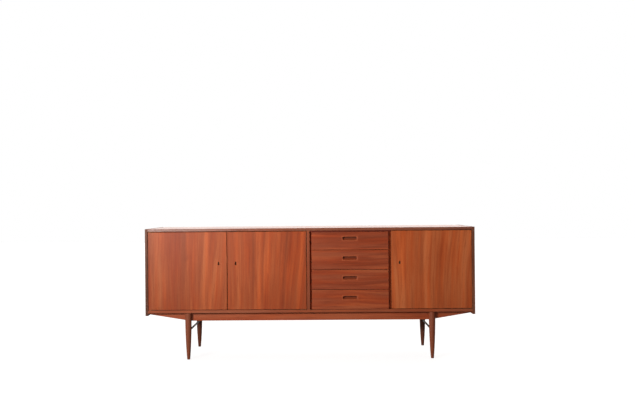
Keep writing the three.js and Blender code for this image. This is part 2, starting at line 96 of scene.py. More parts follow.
class Tree:
    """A short way to write the node tree of a material or a world."""

    def __init__(self, owner):
        owner.use_nodes = True
        self.nodes, self.links = owner.node_tree.nodes, owner.node_tree.links
        self.nodes.clear()

    def plug(self, socket, value):
        """Sets a socket to a number or a colour, or links another socket to it."""
        if isinstance(value, bpy.types.NodeSocket):
            self.links.new(value, socket)
        elif value is not None:
            socket.default_value = value

    def math(self, operation, a, b=None, c=None, clamp=False):
        node = self.nodes.new("ShaderNodeMath")
        node.operation = operation
        node.use_clamp = clamp
        for socket, value in zip(node.inputs, (a, b, c)):
            self.plug(socket, value)
        return node.outputs[0]

    def distance(self, a, b):
        """How far apart two numbers are."""
        return self.math("ABSOLUTE", self.math("SUBTRACT", a, b))

    def vector(self, operation, a, b):
        node = self.nodes.new("ShaderNodeVectorMath")
        node.operation = operation
        self.plug(node.inputs[0], a)
        self.plug(node.inputs[1], b)
        return node.outputs["Vector"]

    def split(self, vector):
        node = self.nodes.new("ShaderNodeSeparateXYZ")
        self.plug(node.inputs[0], vector)
        return node.outputs

    def join(self, x, y, z):
        node = self.nodes.new("ShaderNodeCombineXYZ")
        for socket, value in zip(node.inputs, (x, y, z)):
            self.plug(socket, value)
        return node.outputs[0]

    def noise(self, point, scale=1.0, detail=2.0, roughness=0.5):
        node = self.nodes.new("ShaderNodeTexNoise")
        self.plug(node.inputs["Vector"], point)
        node.inputs["Scale"].default_value = scale
        node.inputs["Detail"].default_value = detail
        node.inputs["Roughness"].default_value = roughness
        return node.outputs["Fac"]

    def ramp(self, value, stops):
        node = self.nodes.new("ShaderNodeValToRGB")
        elements = node.color_ramp.elements
        while len(elements) < len(stops):
            elements.new(0.5)
        for element, (position, colour) in zip(elements, stops):
            element.position = position
            element.color = (*colour, 1.0)
        self.plug(node.inputs[0], value)
        return node.outputs["Color"]

    def remap(self, value, low, high, to_low=0.0, to_high=1.0):
        """value from low..high to to_low..to_high, held at the ends."""
        node = self.nodes.new("ShaderNodeMapRange")
        for socket, setting in zip(node.inputs, (value, low, high, to_low, to_high)):
            self.plug(socket, setting)
        return node.outputs["Result"]

    def mix(self, share, a, b, blend="MIX"):
        """Two colours, mixed or multiplied. Each is a socket or three numbers."""
        node = self.nodes.new("ShaderNodeMix")
        node.data_type = "RGBA"
        node.blend_type = blend
        self.plug(node.inputs["Factor"], share)
        self.plug(node.inputs[6], a if isinstance(a, bpy.types.NodeSocket) else (*a, 1.0))
        self.plug(node.inputs[7], b if isinstance(b, bpy.types.NodeSocket) else (*b, 1.0))
        return node.outputs[2]


class MaterialTree(Tree):
    """A material with one shader, and the way to set it up."""

    def __init__(self, name):
        self.material = bpy.data.materials.new(name)
        super().__init__(self.material)
        self.shader = self.nodes.new("ShaderNodeBsdfPrincipled")
        output = self.nodes.new("ShaderNodeOutputMaterial")
        self.links.new(self.shader.outputs["BSDF"], output.inputs["Surface"])
        self.object_point = self.nodes.new("ShaderNodeTexCoord").outputs["Object"]

    def bump(self, height, strength, distance):
        node = self.nodes.new("ShaderNodeBump")
        node.inputs["Strength"].default_value = strength
        node.inputs["Distance"].default_value = distance
        self.plug(node.inputs["Height"], height)
        self.plug(self.shader.inputs["Normal"], node.outputs["Normal"])

    def set(self, **settings):
        """Plugs the shader's inputs, named with underscores for spaces."""
        for name, value in settings.items():
            self.plug(self.shader.inputs[name.replace("_", " ")], value)


# ---- Woods ----

# Each palette is dark, middle and light wood and its pores, as linear colours.
TEAK = ((0.194, 0.033, 0.009), (0.286, 0.055, 0.014), (0.388, 0.090, 0.025), (0.112, 0.021, 0.007))
PALE_TEAK = ((0.229, 0.043, 0.011), (0.334, 0.070, 0.018), (0.440, 0.108, 0.031), (0.122, 0.026, 0.008))
RED_TEAK = ((0.154, 0.027, 0.009), (0.230, 0.043, 0.015), (0.314, 0.069, 0.023), (0.091, 0.017, 0.006))
CASE_TEAK = ((0.152, 0.034, 0.013), (0.228, 0.055, 0.021), (0.304, 0.082, 0.032), (0.088, 0.022, 0.009))
INSIDE_TEAK = ((0.200, 0.080, 0.036), (0.300, 0.130, 0.058), (0.400, 0.185, 0.085), (0.110, 0.044, 0.022))
APRON_TEAK = ((0.205, 0.042, 0.015), (0.300, 0.066, 0.024), (0.385, 0.096, 0.036), (0.115, 0.026, 0.010))
LEG_TEAK = ((0.128, 0.033, 0.016), (0.207, 0.056, 0.026), (0.290, 0.082, 0.037), (0.076, 0.021, 0.011))
# The back legs' teak is the legs' teak darkened: painted shade, as they stand in the shadow of the case.
SHADED_BACK_LEG_TEAK = ((0.060, 0.017, 0.009), (0.098, 0.028, 0.014), (0.140, 0.042, 0.021), (0.038, 0.012, 0.007))
BEECH = ((0.420, 0.250, 0.130), (0.540, 0.345, 0.190), (0.630, 0.430, 0.250), (0.300, 0.165, 0.080))
PLY = ((0.300, 0.165, 0.078), (0.370, 0.215, 0.108), (0.440, 0.270, 0.142), (0.220, 0.115, 0.055))

# Painted light and shade on the front edges of some pieces: what the colour of a piece's front edge is
# multiplied by. Above one it paints light, as on the recessed edges in the grooves beside the drawers and on
# the bottom's edge. Below one it paints shade, as on the strip under the top and on the side panels' edges, the
# left more than the right.
FRONT_EDGE_LIGHT_AND_SHADE = {
    "top_panel": (0.76, 0.82, 0.95),
    "bottom_panel": (1.16, 1.20, 1.28),
    "side_panel_left": (0.40, 0.54, 0.70),
    "side_panel_right": (0.68, 0.94, 1.24),
    "partition_middle": (0.86, 0.80, 0.76),
    "partition_right": (1.70, 0.78, 0.48),
    "drawer_liner": (2.80, 1.80, 1.10),
    "drawer_top_shade_strip": (0.40, 0.20, 0.14),
}

WOOD_SHIFT = 9.0  # how far a seed may shift a wood's patterns, either way
RANDOM_FAN = 0.12  # the most that the grain of a board without its own fan spreads
WANDER = 0.045  # how far the fibres wander off their line
STREAK_ROUGHNESS = 0.55
WOOD_RELIEF = 0.15 * MM

# Streaks in the grain: the scale of their noise over the grain, how much of it is left along the grain, and
# their detail.
STREAKS = {
    "broad": (11.0, 0.10, 1.0),
    "medium": (46.0, 0.05, 2.0),
    "thin": (150.0, 0.03, 2.0),
    "fibres": (700.0, 0.014, 2.0),
    "pores": (2000.0, 0.03, 1.0),
    "flame": (27.0, 0.06, 1.0),
    "pink_sheen": (31.0, 0.07, 1.0),
    "long_mineral": (75.0, 0.02, 1.0),
    "short_mineral": (120.0, 0.10, 1.0),
}
# How strongly each pattern lightens or darkens a wood.
TONE_WEIGHTS = {
    "broad": 0.70,
    "medium": 0.80,
    "thin": 0.62,
    "fibres": 0.34,
    "leaf": 0.30,
    "cloud": 0.45,
    "flame": 0.40,
}
RINGS_PER_METRE = 150.0
LATE_WOOD_WEIGHT = -0.14
# The orange tint is the wood's own tone; the pink tint is a painted sheen.
ORANGE_TINT, PINK_SHEEN_TINT = (1.07, 0.91, 0.74), (0.97, 1.07, 1.18)

POLISHED_BELOW = 0.35  # a wood that is less rough than this is polished
POLISHED_SPECULAR, OILED_SPECULAR = 0.62, 0.19


class Style(NamedTuple):
    """The wood of one kind of piece."""

    grain: str  # the axis that the grain runs along
    across: str  # the axis over the widest face
    palette: tuple
    figure: float  # how strongly the grain shows
    leaf: float  # how wide a leaf of its veneer is
    roughness: float
    rounding: float  # of the piece's edges


class WoodTree(MaterialTree):
    """The wood of a board, which knows where a point lies on the board and in its grain."""

    def __init__(self, name, box, style, seed, fan):
        super().__init__(name)
        dice = random.Random(seed)
        self.low, self.high = box
        self.xyz = self.split(self.object_point)
        self.grain, across = AXES[style.grain], AXES[style.across]
        depth = sum(AXES.values()) - self.grain - across
        self.along, self.side, self.deep = (
            self.math("ADD", self.xyz[axis], dice.uniform(-WOOD_SHIFT, WOOD_SHIFT))
            for axis in (self.grain, across, depth)
        )

        # Veneer leaves lie side by side, each the mirror of its neighbour, and their fibres wander a little.
        self.width = self.high[across] - self.low[across]
        from_edge = self.math("SUBTRACT", self.xyz[across], self.low[across])
        leaf_number = self.math("FLOOR", self.math("DIVIDE", from_edge, style.leaf))
        folded = self.math("PINGPONG", from_edge, style.leaf)
        leaf_point = self.join(leaf_number, dice.uniform(-WOOD_SHIFT, WOOD_SHIFT), 1.1)
        self.leaf_tone = self.noise(leaf_point, scale=7.3, detail=0.0)
        wander_point = self.join(self.math("MULTIPLY", self.along, 0.8), folded, self.deep)
        wander = self.noise(wander_point, scale=2.2, detail=1.0)
        middle = (self.low[self.grain] + self.high[self.grain]) / 2
        from_middle = self.math("SUBTRACT", self.xyz[self.grain], middle)
        spread = dice.uniform(-RANDOM_FAN, RANDOM_FAN) if fan is None else fan
        fanned = self.math("MULTIPLY", folded, self.math("MULTIPLY_ADD", from_middle, spread, 1.0))
        self.main_line = self.math("MULTIPLY_ADD", self.math("SUBTRACT", wander, 0.5), WANDER, fanned)
        self.line = self.math("ADD", self.main_line, dice.uniform(-WOOD_SHIFT, WOOD_SHIFT))

    def streaks(self, kind, over=None):
        """Noise that varies over the grain and hardly along it."""
        scale, stretch, detail = STREAKS[kind]
        stretched = self.math("MULTIPLY", self.along, stretch)
        point = self.join(stretched, self.line if over is None else over, self.deep)
        return self.noise(point, scale, detail, STREAK_ROUGHNESS)

    def inside(self, axis):
        """How far inside the board a point is along one axis."""
        from_low = self.math("SUBTRACT", self.xyz[axis], self.low[axis])
        from_high = self.math("SUBTRACT", self.high[axis], self.xyz[axis])
        return self.math("MINIMUM", from_low, from_high)

    def behind_front(self):
        """How far a point is behind the board's front, which faces -Y."""
        return self.math("SUBTRACT", self.xyz[1], self.low[1])

    def edge_distance(self):
        """How far a point is from the nearest edge: the second smallest distance to the board's faces."""
        gaps = [self.inside(axis) for axis in range(3)]
        nearer = self.math("MINIMUM", gaps[0], gaps[1])
        farther = self.math("MAXIMUM", gaps[0], gaps[1])
        return self.math("MAXIMUM", nearer, self.math("MINIMUM", farther, gaps[2]))

    def gap_side_faces(self):
        """The narrow side faces of a panel, behind its front edge: where shade is painted in the gaps."""
        to_side = self.math("MINIMUM", self.inside(0), self.inside(2))
        on_side = self.remap(to_side, 0.2 * MM, 1.0 * MM, 0.85, 0.0)
        return self.math("MULTIPLY", on_side, self.remap(self.behind_front(), 0.8 * MM, 3.0 * MM))

    def rubbed_rim(self, handle):
        """A soft ring round an opening in a front, where fingers have rubbed the finish thin."""
        centre_x, centre_z, half_width, half_height = handle
        beyond_x = self.math("SUBTRACT", self.distance(self.xyz[0], centre_x), half_width)
        beyond_z = self.math("SUBTRACT", self.distance(self.xyz[2], centre_z), half_height)
        beyond = self.math("MAXIMUM", beyond_x, beyond_z)
        return self.remap(self.distance(beyond, 1.5 * MM), 1.0 * MM, 7.0 * MM, 1.3, 0.0)

    def shaded_hollow(self, handle):
        """The inside of an opening in a front, darkest behind and under its upper edge: painted shade."""
        centre_x, centre_z, half_width, half_height = handle
        within = self.math("LESS_THAN", self.distance(self.xyz[0], centre_x), half_width)
        behind = self.remap(self.behind_front(), 1.5 * MM, 4.5 * MM)
        above = self.remap(self.xyz[2], centre_z - half_height, centre_z + 0.5 * half_height, 0.10, 0.85)
        return self.math("MULTIPLY", self.math("MULTIPLY", within, behind), above)

    def figure_patterns(self):
        """The patterns that lighten and darken the wood."""
        cloud_point = self.join(self.along, self.side, self.deep)
        flames = self.streaks("flame", self.math("ADD", self.line, 4.0))
        return {
            "broad": self.streaks("broad"),
            "medium": self.streaks("medium"),
            "thin": self.streaks("thin"),
            "fibres": self.streaks("fibres", self.side),
            "leaf": self.leaf_tone,
            "cloud": self.noise(cloud_point, scale=2.6, detail=2.0),
            "flame": self.remap(flames, 0.60, 0.74),
        }

    def late_wood(self, broad):
        """Growth rings, cut almost along the grain, so they run up the board as fine wavy lines."""
        ring_line = self.math("MULTIPLY_ADD", broad, 0.03, self.line)
        rings = self.math("FRACT", self.math("MULTIPLY", ring_line, RINGS_PER_METRE))
        return self.math("POWER", rings, 2.5)

    def tone(self, patterns, late_wood, figure, bands):
        """How light the wood is, from 0 to 1."""
        strength = 0.35 + 0.65 * figure
        tone = 0.5
        for kind, weight in TONE_WEIGHTS.items():
            about_zero = self.math("SUBTRACT", patterns[kind], 0.5)
            tone = self.math("MULTIPLY_ADD", about_zero, weight * strength, tone)
        for place, half_width, weight in bands:
            away = self.distance(self.main_line, place * self.width)
            band = self.remap(away, 0.0, half_width * self.width, 1.0, 0.0)
            tone = self.math("MULTIPLY_ADD", band, weight, tone)
        tone = self.math("MULTIPLY_ADD", late_wood, LATE_WOOD_WEIGHT * figure, tone)
        return self.math("ADD", tone, 0.2 * strength + 0.045 * figure, clamp=True)

    def minerals(self, figure):
        """Dark mineral lines, some long and some short."""
        long_lines = self.remap(self.streaks("long_mineral"), 0.66, 0.78, 0.0, 0.40 * figure)
        short_lines = self.remap(self.streaks("short_mineral"), 0.60, 0.76, 0.0, 0.45 * figure)
        return self.math("MAXIMUM", long_lines, short_lines)


def wood(name, box, style, seed, wear=1.0, side_shade=0.0, handle=None, fan=None, bands=(), front_light_and_shade=None):
    """The wood of a board that fills a box. wear is how far its edges have lost their finish. lipped paints
    shade on the narrow side faces of a panel, in its gaps: their colour becomes lipped times the pores'
    colour. handle is the middle and the half size, on X and Z, of an opening that hands have rubbed, with
    painted shade in its hollow under the upper edge. fan is how much the grain spreads out along the board.
    bands are its main streaks, each a place and a half width over the board's width, and a strength.
    front_light_and_shade multiplies the colour of its front edge: painted light above one, painted shade below
    one."""
    dark, middle, light, pore = style.palette
    figure = style.figure
    tree = WoodTree(name, box, style, seed, fan)
    patterns = tree.figure_patterns()
    late_wood = tree.late_wood(patterns["broad"])
    tone = tree.tone(patterns, late_wood, figure, bands)
    colour = tree.ramp(tone, ((0.08, dark), (0.5, middle), (0.92, light)))

    # Some streaks are a clearer orange, the wood's own tone; others are paler and pinker, a painted sheen.
    tint = tree.mix(tree.remap(tree.streaks("pink_sheen"), 0.34, 0.66), ORANGE_TINT, PINK_SHEEN_TINT)
    colour = tree.mix(min(1.0, figure), colour, tint, "MULTIPLY")
    colour = tree.mix(tree.minerals(figure), colour, dark)
    pore_mask = tree.remap(tree.streaks("pores", tree.side), 0.60, 0.70)
    colour = tree.mix(tree.math("MULTIPLY", pore_mask, 0.40), colour, pore)

    # The finish is worn thin along the edges and round a handle.
    rubbed = tree.noise(tree.object_point, scale=60.0, detail=3.0)
    edge = tree.remap(tree.edge_distance(), 0.3 * MM, 2.8 * MM, 1.0, 0.0)
    worn = tree.math("MULTIPLY", edge, tree.remap(rubbed, 0.40, 0.68, 0.0, 0.32 * wear))
    if handle:
        worn = tree.math("MAXIMUM", worn, tree.math("MULTIPLY", tree.rubbed_rim(handle), rubbed))
    colour = tree.mix(worn, colour, light)
    # Painted shade in the handle's hollow, darkest under its upper edge.
    if handle:
        colour = tree.mix(tree.shaded_hollow(handle), colour, shade(pore, 0.7))

    # End grain drinks more of the finish: it is darker and duller.
    end_grain = tree.remap(tree.inside(tree.grain), 0.4 * MM, 1.4 * MM, 1.0, 0.0)
    colour = tree.mix(tree.math("MULTIPLY", end_grain, 0.6), colour, dark)
    # Painted light and shade on the front edge.
    if front_light_and_shade:
        at_front = tree.remap(tree.behind_front(), 1.0 * MM, 2.2 * MM, 1.0, 0.0)
        colour = tree.mix(at_front, colour, tree.mix(1.0, colour, front_light_and_shade, "MULTIPLY"))
    # Painted shade on the panel's side faces, which lie in the gaps between the panels.
    if side_shade:
        colour = tree.mix(tree.gap_side_faces(), colour, shade(pore, side_shade))

    fibres = patterns["fibres"]
    roughness = style.roughness - 0.06
    for pattern, weight in ((fibres, 0.12), (pore_mask, 0.12), (worn, 0.2), (end_grain, 0.3)):
        roughness = tree.math("MULTIPLY_ADD", pattern, weight, roughness)
    handled = tree.noise(tree.object_point, scale=5.0, detail=4.0)
    roughness = tree.math("MULTIPLY_ADD", tree.math("SUBTRACT", handled, 0.5), 0.12, roughness)
    relief = tree.math("MULTIPLY_ADD", pore_mask, -1.0, tree.math("MULTIPLY", fibres, 0.5))
    relief = tree.math("MULTIPLY_ADD", late_wood, 0.2, relief)
    tree.bump(relief, 0.3, WOOD_RELIEF)
    tree.set(Base_Color=colour, Roughness=roughness)
    specular = POLISHED_SPECULAR if style.roughness < POLISHED_BELOW else OILED_SPECULAR
    tree.shader.inputs["Specular IOR Level"].default_value = specular
    return tree.material


# ---- Metals ----

# Each metal is its colour, the colour of its tarnish, and how rough it is.
# The keyhole liners' brass is darkened nearly to black: painted shade, so the key way reads dark.
LINER_BRASS = ((0.10, 0.060, 0.032), (0.022, 0.014, 0.010), 0.5)
LOCK_STEEL = ((0.42, 0.42, 0.40), (0.20, 0.17, 0.13), 0.42)
SCREW_BRASS = ((0.55, 0.46, 0.28), (0.22, 0.15, 0.08), 0.35)
BOLT_BRASS = ((0.60, 0.43, 0.17), (0.27, 0.17, 0.07), 0.3)
# The hinges' brass is darkened: painted shade, so the plates show no glints through the door gaps.
HINGE_BRASS = ((0.13, 0.085, 0.042), (0.045, 0.030, 0.018), 0.45)
STRETCHER_IRON = ((0.060, 0.061, 0.058), (0.030, 0.028, 0.024), 0.5)
SCREW_STEEL = ((0.50, 0.46, 0.38), (0.22, 0.17, 0.12), 0.4)

METAL_SHIFT = 5.0  # how far a seed may shift a metal's patterns, either way
METAL_RELIEF = 0.04 * MM


def metal(name, look, along, seed):
    """A drawn or rolled metal with fine marks along one axis and patches of tarnish."""
    colour, tarnish, roughness = look
    dice = random.Random(seed)
    tree = MaterialTree(name)
    shift = tuple(dice.uniform(-METAL_SHIFT, METAL_SHIFT) for _ in range(3))
    point = tree.vector("ADD", tree.object_point, shift)
    xyz = tree.split(point)
    squeezed = [
        tree.math("MULTIPLY", xyz[i], 0.04) if i == AXES[along] else xyz[i]
        for i in range(3)
    ]
    marks = tree.noise(tree.join(*squeezed), scale=2600.0, detail=2.0)
    patches = tree.noise(point, scale=55.0, detail=5.0, roughness=0.65)
    patch_mask = tree.remap(patches, 0.45, 0.72)
    tinted = tree.mix(tree.math("MULTIPLY", marks, 0.35), colour, shade(colour, 0.72))
    tinted = tree.mix(patch_mask, tinted, tarnish)
    rough = tree.math("MULTIPLY_ADD", marks, 0.18, roughness - 0.08)
    rough = tree.math("MULTIPLY_ADD", patch_mask, 0.18, rough)
    tree.set(Base_Color=tinted, Roughness=rough)
    tree.shader.inputs["Metallic"].default_value = 1.0
    tree.bump(marks, 0.25, METAL_RELIEF)
    return tree.material


# ---- Meshes ----


def new_object(name, data):
    made = bpy.data.objects.new(name, data)
    bpy.context.scene.collection.objects.link(made)
    return made


def piece_of(mesh):
    """A new object with a mesh's name."""
    return new_object(mesh.name, mesh)


def mesh_of(bm, name):
    """A mesh of a bmesh, smooth but for its sharp edges."""
    bmesh.ops.recalc_face_normals(bm, faces=bm.faces)
    mesh = bpy.data.meshes.new(name)
    bm.to_mesh(mesh)
    bm.free()
    mesh.shade_smooth()
    mesh.set_sharp_from_angle(angle=SHARP_ANGLE)
    return mesh


def round_edges(bm, width, segments=3, least_degrees=30.0):
    """Rounds every edge that is sharper than least_degrees."""
    least = math.radians(least_degrees)
    edges = [e for e in bm.edges if len(e.link_faces) == 2 and e.calc_face_angle(0.0) > least]
    bmesh.ops.bevel(
        bm,
        geom=edges,
        offset=width,
        offset_type="OFFSET",
        segments=segments,
        profile=0.5,
        affect="EDGES",
        clamp_overlap=True,
    )


def steady_normals(piece):
    """Keeps flat faces flat next to their rounded edges."""
    modifier = piece.modifiers.new("steady normals", "WEIGHTED_NORMAL")
    modifier.keep_sharp = True
    modifier.weight = 100


def stand_for(piece, node, material):
    """Makes a piece stand for a CAD node: its body and its material."""
    piece.data.materials.clear()
    piece.data.materials.append(material)
    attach(piece, BODY_OF[node])
    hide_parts(node)


def add_joinery_piece(node, suffix, material, rounding, segments=3, least_degrees=30.0):
    """A piece with the joinery of its CAD node: its flat faces made whole again, and its edges rounded."""
    bm = bmesh.new()
    bm.from_mesh(frame["nodes"][node].data)
    bmesh.ops.remove_doubles(bm, verts=bm.verts, dist=WELD_DISTANCE)
    bmesh.ops.dissolve_limit(bm, angle_limit=FLAT_ANGLE, verts=bm.verts, edges=bm.edges)
    round_edges(bm, rounding, segments, least_degrees)
    piece = piece_of(mesh_of(bm, f"{node}_{suffix}"))
    steady_normals(piece)
    stand_for(piece, node, material)


def box_mesh(low, high, name, rounding=0.0):
    bm = bmesh.new()
    size = Vector(high) - Vector(low)
    place = Matrix.Translation((Vector(low) + Vector(high)) / 2) @ Matrix.Diagonal((*size, 1.0))
    bmesh.ops.create_cube(bm, size=1.0, matrix=place)
    if rounding:
        round_edges(bm, rounding)
    return mesh_of(bm, name)


def bridge(bm, first, second):
    """Faces between two rings of as many vertices each."""
    for i in range(len(first)):
        j = (i + 1) % len(first)
        bm.faces.new((first[i], first[j], second[j], second[i]))


def loft(rings, name, close_ends=True):
    """A mesh through rings of as many points each. It closes its two ends, or its last ring on its first."""
    bm = bmesh.new()
    made = [[bm.verts.new(point) for point in ring] for ring in rings]
    for first, second in zip(made, made[1:]):
        bridge(bm, first, second)
    if close_ends:
        bm.faces.new(made[0])
        bm.faces.new(made[-1])
    else:
        bridge(bm, made[-1], made[0])
    return mesh_of(bm, name)


def cut(piece, *cutters):
    """Cuts other meshes from a piece for good."""
    for mesh in cutters:
        cutter = new_object("cutter", mesh)
        modifier = piece.modifiers.new("cut", "BOOLEAN")
        modifier.operation = "DIFFERENCE"
        modifier.solver = "EXACT"
        modifier.object = cutter
        bpy.context.view_layer.update()
        graph = bpy.context.evaluated_depsgraph_get()
        result = bpy.data.meshes.new_from_object(piece.evaluated_get(graph))
        piece.modifiers.remove(modifier)
        old = piece.data
        piece.data = result
        result.name = piece.name
        bpy.data.meshes.remove(old)
        bpy.data.objects.remove(cutter)
        bpy.data.meshes.remove(mesh)
    piece.data.shade_smooth()
    piece.data.set_sharp_from_angle(angle=SHARP_ANGLE)


RIM_STEPS = 3


def cylinder_mesh(name, centre, axis, radius, low, high, sides=48, rounding=0.0):
    """A cylinder along an axis, from low to high on it, with rounded rims."""
    along = AXES[axis]
    across = [i for i in range(3) if i != along]
    rim = [(0.0, 0.0)]
    if rounding:
        angles = [math.pi / 2 * i / RIM_STEPS for i in range(RIM_STEPS, -1, -1)]
        rim = [(rounding * (1 - math.sin(a)), rounding * (1 - math.cos(a))) for a in angles]
    profile = [(low + inward, radius - narrower) for inward, narrower in rim]
    profile += [(high - inward, radius - narrower) for inward, narrower in reversed(rim)]
    rings = []
    for place, ring_radius in profile:
        ring = []
        for i in range(sides):
            angle = 2 * math.pi * i / sides
            point = [0.0, 0.0, 0.0]
            point[along] = place
            point[across[0]] = centre[across[0]] + ring_radius * math.cos(angle)
            point[across[1]] = centre[across[1]] + ring_radius * math.sin(angle)
            ring.append(point)
        rings.append(ring)
    return loft(rings, name)


# ---- Case, shelves and base boards ----

# The style of every board whose node's name starts so.
BOARDS = {
    "top_panel": Style("x", "y", CASE_TEAK, 0.9, 0.16, 0.27, 2.2 * MM),
    "bottom_panel": Style("x", "y", CASE_TEAK, 0.8, 0.16, 0.40, 1.0 * MM),
    "side_panel": Style("z", "y", CASE_TEAK, 0.9, 0.15, 0.48, 1.0 * MM),
    "partition_left": Style("z", "y", INSIDE_TEAK, 0.6, 0.17, 0.5, 0.6 * MM),
    "partition_middle": Style("z", "y", CASE_TEAK, 0.7, 0.17, 0.45, 0.9 * MM),
    "partition_right": Style("z", "y", INSIDE_TEAK, 0.6, 0.17, 0.5, 0.6 * MM),
    "drawer_liner": Style("z", "y", RED_TEAK, 0.6, 0.17, 0.5, 0.5 * MM),
    "back_panel": Style("x", "z", PLY, 0.5, 0.3, 0.6, 0.3 * MM),
    "shelf": Style("x", "y", INSIDE_TEAK, 0.6, 0.17, 0.5, 0.8 * MM),
    "apron": Style("x", "z", APRON_TEAK, 0.8, 0.2, 0.42, 1.2 * MM),
    "cross_rail": Style("y", "z", INSIDE_TEAK, 0.5, 0.2, 0.6, 1.0 * MM),
}


def style_of(node, styles):
    """The style whose name a node's name starts with."""
    return next((style for start, style in styles.items() if node.startswith(start)), None)


def dress_boards():
    for number, node in enumerate(sorted(frame["nodes"])):
        style = style_of(node, BOARDS)
        if not style:
            continue
        material = wood(f"{node} wood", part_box(node), style, SEEDS["board"] + number,
                        front_light_and_shade=style_of(node, FRONT_EDGE_LIGHT_AND_SHADE))
        add_joinery_piece(node, "board", material, style.rounding)


# ---- Doors ----

KEYHOLE_STEPS = 20
KEYHOLE_DROP = 12 * MM
# The radii of a keyhole's head and foot, round the liner and inside it.
KEYHOLE_OUTER = (3.4 * MM, 5.0 * MM)
KEYHOLE_INNER = (1.9 * MM, 3.5 * MM)
LINER_LIP = 0.5 * MM
PIN_HOLE = {"radius": 2.8 * MM, "depth": 10.3 * MM, "sides": 32}

DOOR_STYLE = Style("z", "x", TEAK, 0.9, 0.6, 0.4, 0.9 * MM)
# The veneer of each door: its palette, the fan and the bands of its grain, and how light the painted shade on its
# side faces is.
DOORS = {
    "left": (TEAK, -0.16, ((0.12, 0.11, 0.30), (0.73, 0.055, 0.42)), 1.0),
    "middle": (
        TEAK, -0.20, ((0.40, 0.06, 0.42), (0.74, 0.07, -0.30), (0.93, 0.05, 0.32), (0.12, 0.05, 0.18)), 1.0),
    "right": (PALE_TEAK, -0.14, ((0.44, 0.055, 0.40), (0.62, 0.05, -0.16), (0.93, 0.05, 0.30)), 1.8),
}


def keyhole_ring(radii, margin, y, centre):
    """Points round a keyhole at one depth: a small round head that widens down to a rounder foot."""
    head, foot = radii
    lean = math.asin((foot - head) / KEYHOLE_DROP)
    points = []
    for radius, drop, start, end in (
        (head + margin, 0.0, lean, math.pi - lean),
        (foot + margin, KEYHOLE_DROP, math.pi - lean, 2 * math.pi + lean),
    ):
        for i in range(KEYHOLE_STEPS + 1):
            angle = start + (end - start) * i / KEYHOLE_STEPS
            x, z = centre[0] + radius * math.cos(angle), centre[1] - drop + radius * math.sin(angle)
            points.append((x, y, z))
    return points


def add_door_panel(name, number, key, pocket_end):
    """A door with its keyhole, a pocket round it back to pocket_end, and holes for its pivot pins."""
    node = f"door_{name}"
    low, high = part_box(node)
    door = piece_of(box_mesh(low, high, f"{node}_panel", DOOR_STYLE.rounding))
    start = low.y - OVERCUT
    pocket = [keyhole_ring(KEYHOLE_OUTER, SLACK, y, key) for y in (start, pocket_end + SLACK)]
    key_way = [keyhole_ring(KEYHOLE_INNER, 0.0, y, key) for y in (start, high.y + OVERCUT)]
    pivot = JOINTS[f"{name}_door_swing"]["pos_m"]
    pin_spans = (
        (low.z - OVERCUT, low.z + PIN_HOLE["depth"]),
        (high.z - PIN_HOLE["depth"], high.z + OVERCUT),
    )
    holes = [
        cylinder_mesh("pin hole", (pivot[0], pivot[1], 0), "z", PIN_HOLE["radius"], *span, PIN_HOLE["sides"])
        for span in pin_spans
    ]
    cut(door, loft(pocket, "pocket"), loft(key_way, "key way"), *holes)
    steady_normals(door)
    palette, fan, bands, side_shade = DOORS[name]
    material = wood(f"{node} veneer", (low, high), DOOR_STYLE._replace(palette=palette),
                    SEEDS["door"] + number, side_shade=side_shade, fan=fan, bands=bands)
    stand_for(door, node, material)


def add_keyhole_liner(name, number, key):
    """A ring with a soft outer lip, dished in towards the key way."""
    node = f"keyhole_liner_{name}"
    low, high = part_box(node)
    depth = high.y - low.y
    # Round its section: the outline, how far outside it, and how far behind the front.
    section = (
        (KEYHOLE_OUTER, 0.0, depth),
        (KEYHOLE_OUTER, 0.0, LINER_LIP),
        (KEYHOLE_OUTER, -0.3 * LINER_LIP, 0.3 * LINER_LIP),
        (KEYHOLE_OUTER, -LINER_LIP, 0.0),
        (KEYHOLE_INNER, LINER_LIP, 0.3 * LINER_LIP),
        (KEYHOLE_INNER, 0.3 * LINER_LIP, LINER_LIP),
        (KEYHOLE_INNER, 0.0, 2 * LINER_LIP),
        (KEYHOLE_INNER, 0.0, depth),
    )
    rings = [keyhole_ring(radii, margin, low.y + behind, key) for radii, margin, behind in section]
    liner = piece_of(loft(rings, f"{node}_ring", close_ends=False))
    stand_for(liner, node, metal(f"{node} metal", LINER_BRASS, "y", SEEDS["keyhole_liner"] + number))


def dress_door(name, number):
    low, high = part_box(f"keyhole_liner_{name}")
    key = ((low.x + high.x) / 2, high.z - KEYHOLE_OUTER[0])  # the middle of the keyhole's head, on X and Z
    add_door_panel(name, number, key, high.y)
    add_keyhole_liner(name, number, key)


# ---- Locks and hinges ----

SCREW = {
    "sides": 28,
    "rows": 5,
    "slot": 0.16,  # the slot's half width, over the radius
    "slot_depth": 0.45 * MM,
    "sunk": 0.2 * MM,
    "first_turn": 1.1,  # in radians, as is the turn from each screw to the next
    "next_turn": 0.77,
}
LOCK_SCREW = {"radius": 2.6 * MM, "dome": 0.7 * MM, "inset": 6 * MM, "seat": 0.1 * MM}
BACK_SCREW = {"radius": 3.2 * MM, "dome": 0.55 * MM, "inset": 9 * MM}
CASE_ROUNDING, BOLT_ROUNDING, HINGE_ROUNDING = 0.7 * MM, 0.8 * MM, 0.35 * MM


